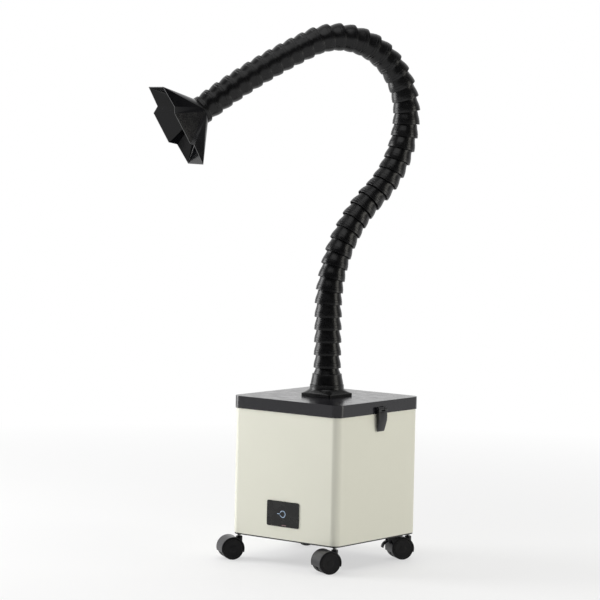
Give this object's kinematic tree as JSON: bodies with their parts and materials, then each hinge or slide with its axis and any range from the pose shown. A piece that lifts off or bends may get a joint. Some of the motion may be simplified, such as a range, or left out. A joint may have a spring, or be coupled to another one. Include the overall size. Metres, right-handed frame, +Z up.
{
  "type": "solder fume extractor",
  "caption": "Wheeled filter cabinet with a latched lift-off lid, a jointed hose arm that holds its pose, and a wide faceted suction hood for drawing off fumes.",
  "frame": {"origin": "on the floor, under the centre of the cabinet", "axes": "+Z up; -Y is the front, with the touch panel; the latches are on +X and -X; the exhaust and mains inlet are at the back, +Y"},
  "size_m": [0.4028, 0.5985, 1.2138],
  "materials": {
    "cream_paint": "satin powder coat",
    "black_paint": "satin powder coat",
    "steel": "zinc plated",
    "black_plastic": "moulded",
    "panel_glass": "polished black",
    "panel_light": "lit window",
    "circuit_board": "solder mask",
    "zinc_sheet": "galvanised",
    "blower_plastic": "moulded",
    "motor_steel": "turned",
    "filter_paper": "pleated paper",
    "carbon_felt": "granular",
    "filter_felt": "open felt",
    "lid_black": "satin moulded",
    "gasket_rubber": "foam",
    "hose_plastic": "semi-gloss moulded",
    "latch_plastic": "moulded",
    "hood_plastic": "semi-gloss moulded",
    "caster_plastic": "moulded",
    "wheel_plastic": "moulded nylon"
  },
  "bodies": {
    "cabinet": {"cabinet_shell": "cream_paint", "base_plate": "black_paint", "base_screws": "steel", "exhaust_grille": "black_plastic", "panel_frame": "black_plastic", "panel_glass": "panel_glass", "panel_lights": "panel_light", "control_board": "circuit_board", "power_supply": "zinc_sheet", "mains_inlet": "black_plastic", "blower_housing": "blower_plastic", "blower_motor": "motor_steel", "partition_plate": "zinc_sheet", "hepa_filter": "filter_paper", "carbon_filter": "carbon_felt", "prefilter_pad": "filter_felt", "latch_catches": "steel", "caster_stems": "steel"},
    "blower_wheel": {"impeller": "blower_plastic"},
    "lid": {"lid": "lid_black", "lid_gasket": "gasket_rubber", "hose_flange": "hose_plastic", "flange_collar": "hose_plastic", "flange_screws": "steel", "latch_lugs": "latch_plastic", "latch_pins": "steel"},
    "latch_left": {"latch_left": "latch_plastic"},
    "latch_right": {"latch_right": "latch_plastic"},
    "arm_neck": {"neck_cone": "hose_plastic"},
    "arm_01": {"hose_01": "hose_plastic"},
    "arm_02": {"hose_02": "hose_plastic"},
    "arm_03": {"hose_03": "hose_plastic"},
    "arm_04": {"hose_04": "hose_plastic"},
    "arm_05": {"hose_05": "hose_plastic"},
    "arm_06": {"hose_06": "hose_plastic"},
    "arm_07": {"hose_07": "hose_plastic"},
    "arm_08": {"hose_08": "hose_plastic"},
    "arm_09": {"hose_09": "hose_plastic"},
    "arm_10": {"hose_10": "hose_plastic"},
    "arm_11": {"hose_11": "hose_plastic"},
    "arm_12": {"hose_12": "hose_plastic"},
    "arm_13": {"hose_13": "hose_plastic"},
    "arm_14": {"hose_14": "hose_plastic"},
    "arm_15": {"hose_15": "hose_plastic"},
    "hood_tilt": {"hood_mount": "hose_plastic"},
    "hood": {"hood_shell": "hood_plastic"},
    "caster_fl": {"caster_fork_fl": "caster_plastic"},
    "wheels_fl": {"caster_wheels_fl": "wheel_plastic", "caster_axle_fl": "steel"},
    "caster_fr": {"caster_fork_fr": "caster_plastic"},
    "wheels_fr": {"caster_wheels_fr": "wheel_plastic", "caster_axle_fr": "steel"},
    "caster_rr": {"caster_fork_rr": "caster_plastic"},
    "wheels_rr": {"caster_wheels_rr": "wheel_plastic", "caster_axle_rr": "steel"},
    "caster_rl": {"caster_fork_rl": "caster_plastic"},
    "wheels_rl": {"caster_wheels_rl": "wheel_plastic", "caster_axle_rl": "steel"},
    "brake_rr": {"brake_lever_rr": "caster_plastic"},
    "brake_rl": {"brake_lever_rl": "caster_plastic"}
  },
  "joints": [
    {"name": "blower_spin", "type": "hinge", "parent": "cabinet", "child": "blower_wheel", "pos_m": [0, 0, 0.08], "axis": [0, 0, 1], "continuous": true},
    {"name": "lid_lift", "type": "slide", "parent": "cabinet", "child": "lid", "axis": [0, 0, 1], "range_m": [0, 0.06]},
    {"name": "latch_right_swing", "type": "hinge", "parent": "lid", "child": "latch_right", "pos_m": [0.1569, 0, 0.3548], "axis": [0, -1, 0], "range_deg": [0, 102]},
    {"name": "latch_left_swing", "type": "hinge", "parent": "lid", "child": "latch_left", "pos_m": [-0.1569, 0, 0.3548], "axis": [0, 1, 0], "range_deg": [0, 102]},
    {"name": "arm_turn", "type": "hinge", "parent": "lid", "child": "arm_neck", "pos_m": [0, 0, 0.441], "axis": [0, 0, 1], "continuous": true},
    {"name": "arm_bend_01", "type": "hinge", "parent": "arm_neck", "child": "arm_01", "pos_m": [0, 0, 0.441], "axis": [0.891, -0.454, 0], "range_deg": [-12.5, 12.5]},
    {"name": "arm_side_02", "type": "hinge", "parent": "arm_01", "child": "arm_02", "pos_m": [0, 0, 0.5274], "axis": [-0.454, -0.891, 0], "range_deg": [-10, 10]},
    {"name": "arm_bend_03", "type": "hinge", "parent": "arm_02", "child": "arm_03", "pos_m": [0.00105, 0.00206, 0.61371], "axis": [0.891, -0.454, 0], "range_deg": [-7.9, 17.1]},
    {"name": "arm_bend_04", "type": "hinge", "parent": "arm_03", "child": "arm_04", "pos_m": [0.01039, 0.02038, 0.69743], "axis": [0.891, -0.454, 0], "range_deg": [-7.9, 17.1]},
    {"name": "arm_bend_05", "type": "hinge", "parent": "arm_04", "child": "arm_05", "pos_m": [0.02852, 0.05597, 0.77384], "axis": [0.891, -0.454, 0], "range_deg": [-7.9, 17.1]},
    {"name": "arm_bend_06", "type": "hinge", "parent": "arm_05", "child": "arm_06", "pos_m": [0.0544, 0.10677, 0.83851], "axis": [0.891, -0.454, 0], "range_deg": [-19, 6]},
    {"name": "arm_bend_07", "type": "hinge", "parent": "arm_06", "child": "arm_07", "pos_m": [0.07567, 0.14852, 0.91066], "axis": [0.891, -0.454, 0], "range_deg": [-19, 6]},
    {"name": "arm_bend_08", "type": "hinge", "parent": "arm_07", "child": "arm_08", "pos_m": [0.08479, 0.16641, 0.99431], "axis": [0.891, -0.454, 0], "range_deg": [-19, 6]},
    {"name": "arm_bend_09", "type": "hinge", "parent": "arm_08", "child": "arm_09", "pos_m": [0.07865, 0.15435, 1.07883], "axis": [0.891, -0.454, 0], "range_deg": [-22.1, 2.9]},
    {"name": "arm_bend_10", "type": "hinge", "parent": "arm_09", "child": "arm_10", "pos_m": [0.05478, 0.1075, 1.14637], "axis": [0.891, -0.454, 0], "range_deg": [-22.1, 2.9]},
    {"name": "arm_bend_11", "type": "hinge", "parent": "arm_10", "child": "arm_11", "pos_m": [0.01909, 0.03746, 1.18022], "axis": [0.891, -0.454, 0], "range_deg": [-22.1, 2.9]},
    {"name": "arm_bend_12", "type": "hinge", "parent": "arm_11", "child": "arm_12", "pos_m": [-0.01959, -0.03845, 1.17202], "axis": [0.891, -0.454, 0], "range_deg": [-22.1, 2.9]},
    {"name": "arm_bend_13", "type": "hinge", "parent": "arm_12", "child": "arm_13", "pos_m": [-0.0549, -0.10775, 1.13442], "axis": [0.891, -0.454, 0], "range_deg": [-13.6, 11.4]},
    {"name": "arm_side_14", "type": "hinge", "parent": "arm_13", "child": "arm_14", "pos_m": [-0.08917, -0.17501, 1.09241], "axis": [0.2359, 0.4629, -0.8545], "range_deg": [-10, 10]},
    {"name": "arm_bend_15", "type": "hinge", "parent": "arm_14", "child": "arm_15", "pos_m": [-0.12229, -0.24, 1.04612], "axis": [0.891, -0.454, 0], "range_deg": [-13.6, 11.4]},
    {"name": "hood_tilt", "type": "hinge", "parent": "arm_15", "child": "hood_tilt", "pos_m": [-0.14367, -0.28196, 1.01296], "axis": [0.891, -0.454, 0], "range_deg": [-6.8, 18.2]},
    {"name": "hood_turn", "type": "hinge", "parent": "hood_tilt", "child": "hood", "pos_m": [-0.14839, -0.29122, 1.00696], "axis": [-0.3932, -0.7716, -0.5], "range_deg": [-90, 90]},
    {"name": "swivel_fl", "type": "hinge", "parent": "cabinet", "child": "caster_fl", "pos_m": [-0.137, -0.137, 0.05], "axis": [0, 0, 1], "continuous": true},
    {"name": "roll_fl", "type": "hinge", "parent": "caster_fl", "child": "wheels_fl", "pos_m": [-0.14818, -0.15358, 0.025], "axis": [0.829, -0.5592, 0], "continuous": true},
    {"name": "swivel_fr", "type": "hinge", "parent": "cabinet", "child": "caster_fr", "pos_m": [0.137, -0.137, 0.05], "axis": [0, 0, 1], "continuous": true},
    {"name": "roll_fr", "type": "hinge", "parent": "caster_fr", "child": "wheels_fr", "pos_m": [0.12792, -0.15482, 0.025], "axis": [0.891, -0.454, 0], "continuous": true},
    {"name": "swivel_rr", "type": "hinge", "parent": "cabinet", "child": "caster_rr", "pos_m": [0.137, 0.137, 0.05], "axis": [0, 0, 1], "continuous": true},
    {"name": "roll_rr", "type": "hinge", "parent": "caster_rr", "child": "wheels_rr", "pos_m": [0.12611, 0.12023, 0.025], "axis": [0.8387, -0.5446, 0], "continuous": true},
    {"name": "brake_press_rr", "type": "hinge", "parent": "caster_rr", "child": "brake_rr", "pos_m": [0.11149, 0.09771, 0.0405], "axis": [0.8387, -0.5446, 0], "range_deg": [0, 14]},
    {"name": "swivel_rl", "type": "hinge", "parent": "cabinet", "child": "caster_rl", "pos_m": [-0.137, 0.137, 0.05], "axis": [0, 0, 1], "continuous": true},
    {"name": "roll_rl", "type": "hinge", "parent": "caster_rl", "child": "wheels_rl", "pos_m": [-0.14986, 0.12168, 0.025], "axis": [0.766, -0.6428, 0], "continuous": true},
    {"name": "brake_press_rl", "type": "hinge", "parent": "caster_rl", "child": "brake_rl", "pos_m": [-0.16711, 0.10111, 0.0405], "axis": [0.766, -0.6428, 0], "range_deg": [0, 14]}
  ],
  "couplings": [
    {"joint": "latch_right_swing", "follows": "lid_lift", "rad_per_m": 29.67},
    {"joint": "latch_left_swing", "follows": "lid_lift", "rad_per_m": 29.67}
  ]
}
